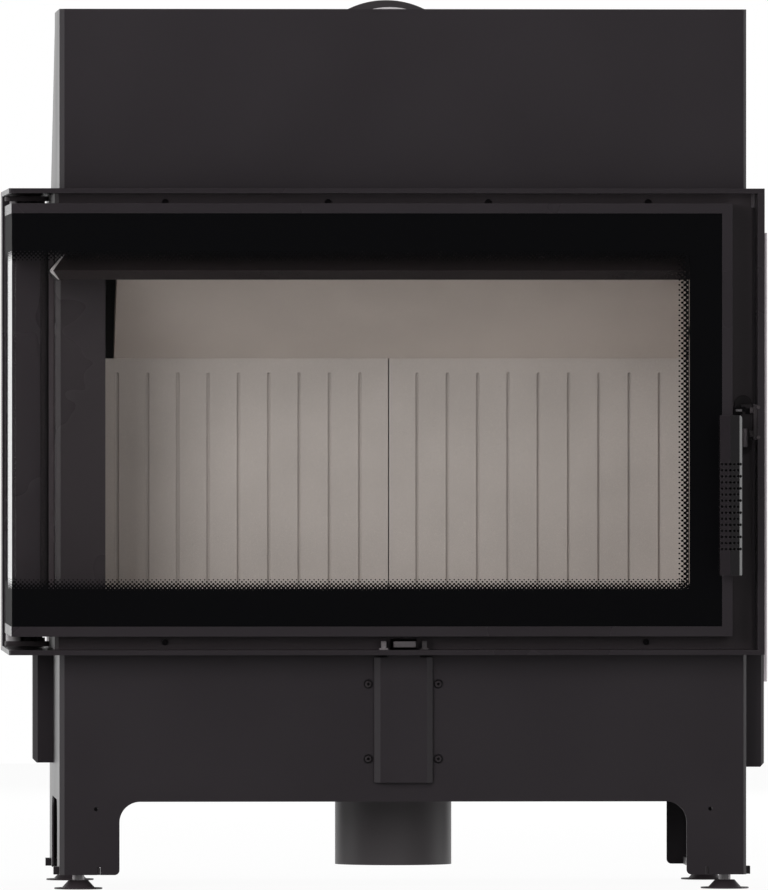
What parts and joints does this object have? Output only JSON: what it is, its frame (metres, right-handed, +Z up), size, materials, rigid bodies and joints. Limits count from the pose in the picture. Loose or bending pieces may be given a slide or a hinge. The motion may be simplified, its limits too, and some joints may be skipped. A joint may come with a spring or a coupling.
{
  "type": "fireplace insert",
  "caption": "Built-in steel fireplace insert on levelling legs, with an L-shaped glass door closing the front and left side, a lined firebox, a sloping hood and a rear flue outlet.",
  "frame": {"origin": "on the floor, under the middle of the whole object", "axes": "+Z up, +Y to the back, +X to the right as seen from the front"},
  "size_m": [0.7754, 0.545, 0.9145],
  "materials": {
    "casing_paint": "fine textured matt dark grey stove paint",
    "frame_paint": "matt dark grey stove paint",
    "door_paint": "matt dark grey stove paint",
    "handle_paint": "satin dark grey paint",
    "pane": "clear heat-proof glass with a printed border",
    "firebox_steel": "dark matt stove paint",
    "flue_steel": "dark matt stove paint",
    "tile": "pressed fire-resistant board, matt",
    "seal_rope": "knitted glass-fibre rope",
    "knob_paint": "satin dark grey paint",
    "black_steel": "blackened steel",
    "zinc": "zinc plated",
    "foot_plastic": "black moulded plastic"
  },
  "bodies": {
    "casing": {"base_casing": "casing_paint", "hood_casing": "casing_paint", "side_panel_right": "casing_paint", "rear_panel": "casing_paint", "corner_column": "casing_paint", "left_wing_bracket": "casing_paint", "right_side_duct": "casing_paint", "right_heat_shield": "casing_paint", "air_cover": "casing_paint", "frame_top_flange": "frame_paint", "frame_bottom_flange": "frame_paint", "frame_right_upright": "frame_paint", "rear_left_post": "frame_paint", "door_rim": "frame_paint", "hinge_plate_top": "frame_paint", "hinge_plate_bottom": "frame_paint", "control_guides": "frame_paint", "strike_plate": "frame_paint", "foot_plates": "frame_paint", "lintel_deflector": "door_paint", "firebox_shell": "firebox_steel", "smoke_dome": "firebox_steel", "baffle_support_bar": "firebox_steel", "air_box": "firebox_steel", "shutter_guides": "firebox_steel", "flue_base_ring": "flue_steel", "flue_retaining_ring": "flue_steel", "air_spigot": "flue_steel", "rear_tile_left": "tile", "rear_tile_right": "tile", "right_side_tile": "tile", "left_side_tile": "tile", "hearth_tiles": "tile", "baffle_plate": "tile", "air_box_screws": "black_steel", "hinge_bolts": "black_steel", "strike_bolts": "black_steel", "flue_ring_screws": "black_steel", "hinge_pins": "zinc", "thrust_washer": "zinc"},
    "door": {"door_frame": "door_paint", "front_glass": "pane", "side_glass": "pane", "glass_bedding": "seal_rope", "door_seal": "seal_rope"},
    "handle": {"handle_grip": "handle_paint", "handle_spindle": "zinc", "latch_cam": "black_steel"},
    "air_control": {"air_control_knob": "knob_paint", "air_shutter": "knob_paint"},
    "flue_outlet": {"flue_elbow": "flue_steel", "flue_outlet_pipe": "flue_steel"},
    "foot_front_left": {"foot_pad_front_left": "foot_plastic", "foot_stud_front_left": "zinc"},
    "foot_front_right": {"foot_pad_front_right": "foot_plastic", "foot_stud_front_right": "zinc"},
    "foot_rear_left": {"foot_pad_rear_left": "foot_plastic", "foot_stud_rear_left": "zinc"},
    "foot_rear_right": {"foot_pad_rear_right": "foot_plastic", "foot_stud_rear_right": "zinc"}
  },
  "joints": [
    {"name": "door_hinge", "type": "hinge", "parent": "casing", "child": "door", "pos_m": [-0.37625, 0.0835, 0.478], "axis": [0, 0, -1], "range_deg": [0, 90]},
    {"name": "handle_turn", "type": "hinge", "parent": "door", "child": "handle", "pos_m": [0.34235, -0.2425, 0.46], "axis": [0, 1, 0], "range_deg": [0, 75]},
    {"name": "air_control_pull", "type": "slide", "parent": "casing", "child": "air_control", "axis": [0, -1, 0], "range_m": [0, 0.04]},
    {"name": "flue_swivel", "type": "hinge", "parent": "casing", "child": "flue_outlet", "pos_m": [0.01475, 0.1275, 0.7715], "axis": [0, 0.7071, 0.7071], "range_deg": [0, 180]},
    {"name": "foot_screw_front_left", "type": "slide", "parent": "casing", "child": "foot_front_left", "axis": [0, 0, -1], "range_m": [0, 0.015]},
    {"name": "foot_screw_front_right", "type": "slide", "parent": "casing", "child": "foot_front_right", "axis": [0, 0, -1], "range_m": [0, 0.015]},
    {"name": "foot_screw_rear_left", "type": "slide", "parent": "casing", "child": "foot_rear_left", "axis": [0, 0, -1], "range_m": [0, 0.015]},
    {"name": "foot_screw_rear_right", "type": "slide", "parent": "casing", "child": "foot_rear_right", "axis": [0, 0, -1], "range_m": [0, 0.015]}
  ]
}
